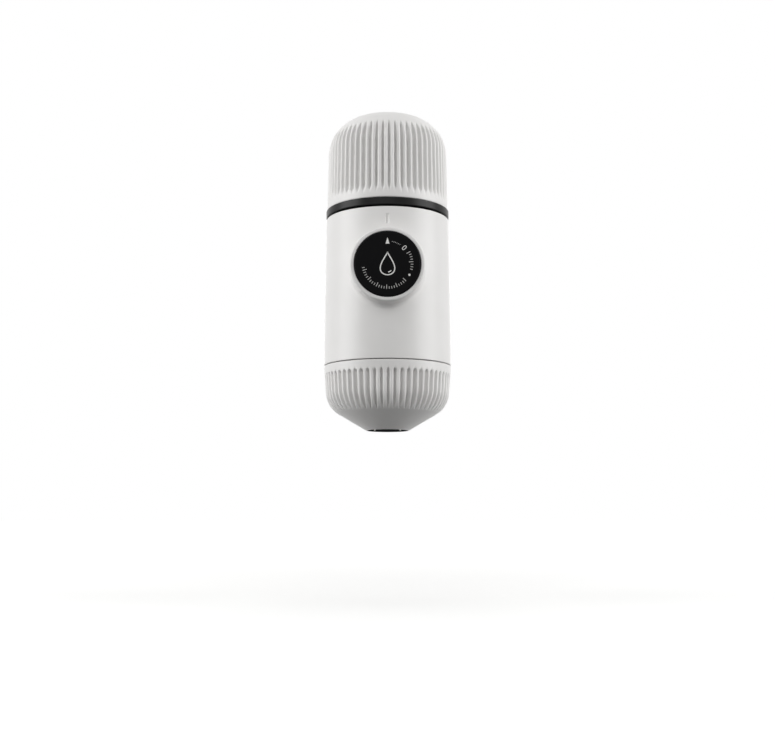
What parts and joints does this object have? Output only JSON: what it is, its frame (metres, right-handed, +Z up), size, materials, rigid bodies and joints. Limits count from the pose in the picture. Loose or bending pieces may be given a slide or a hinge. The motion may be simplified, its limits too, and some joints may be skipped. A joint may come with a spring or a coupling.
{
  "type": "handheld manual espresso maker",
  "caption": "Handheld hand-pump espresso maker: fluted cup over a screw-in water tank, side pump knob, and a screw-on brewing head with basket and nozzle.",
  "frame": {"origin": "centre of the outlet ring's flat face, which is also the mouth of the outlet bore", "axes": "+Z up along the body's axis towards the cup, -Y towards the pump knob, +X to the right of the knob"},
  "size_m": [0.062, 0.0707, 0.156],
  "materials": {
    "white_plastic": "satin",
    "smoked_plastic": "satin",
    "black_nylon": "satin",
    "gloss_black": "semi-gloss",
    "white_acetal": "moulded",
    "steel": "brushed stainless",
    "silicone": "matte"
  },
  "bodies": {
    "pump_body": {"main_shell": "white_plastic", "pump_chassis": "black_nylon", "inlet_strainer": "steel", "inlet_valve": "silicone", "pump_cylinder": "white_acetal", "cylinder_seal": "silicone", "cylinder_gland": "white_acetal", "outlet_valve": "silicone", "lock_ring": "black_nylon", "return_spring": "steel", "shower_screen": "steel", "screen_screw": "steel"},
    "tank_gasket": {"tank_gasket": "silicone"},
    "water_tank": {"water_tank": "smoked_plastic"},
    "drinking_cup": {"drinking_cup": "white_plastic"},
    "piston": {"piston_rod": "white_acetal", "piston_seal": "silicone", "knob_screw": "steel"},
    "knob": {"knob_sleeve": "black_nylon", "knob_cap": "gloss_black"},
    "shower_gasket": {"shower_gasket": "silicone"},
    "filter_basket": {"filter_basket": "steel"},
    "outlet_head": {"outlet_head": "white_plastic", "head_funnel": "black_nylon", "outlet_nozzle": "black_nylon", "nozzle_seal": "silicone", "nozzle_valve": "silicone"}
  },
  "joints": [
    {"name": "tank_rise", "type": "slide", "parent": "pump_body", "child": "tank_gasket", "axis": [0, 0, 1], "range_m": [0, 0.007]},
    {"name": "tank_unscrew", "type": "hinge", "parent": "tank_gasket", "child": "water_tank", "pos_m": [0, 0, 0.1], "axis": [0, 0, 1], "range_deg": [0, 720]},
    {"name": "cup_lift", "type": "slide", "parent": "water_tank", "child": "drinking_cup", "axis": [0, 0, 1], "range_m": [0, 0.045]},
    {"name": "pump_stroke", "type": "slide", "parent": "pump_body", "child": "piston", "axis": [0, -1, 0], "range_m": [0, 0.02]},
    {"name": "knob_turn", "type": "hinge", "parent": "piston", "child": "knob", "pos_m": [0, -0.03, 0.0741], "axis": [0, -1, 0], "range_deg": [0, 45]},
    {"name": "head_lower", "type": "slide", "parent": "pump_body", "child": "shower_gasket", "axis": [0, 0, -1], "range_m": [0, 0.0105]},
    {"name": "head_unscrew", "type": "hinge", "parent": "shower_gasket", "child": "filter_basket", "pos_m": [0, 0, 0.02], "axis": [0, 0, -1], "range_deg": [0, 720]},
    {"name": "basket_out", "type": "slide", "parent": "filter_basket", "child": "outlet_head", "axis": [0, 0, -1], "range_m": [0, 0.02]}
  ],
  "couplings": [
    {"joint": "tank_rise", "follows": "tank_unscrew", "m_per_rad": 0.00055704},
    {"joint": "head_lower", "follows": "head_unscrew", "m_per_rad": 0.00083556}
  ]
}
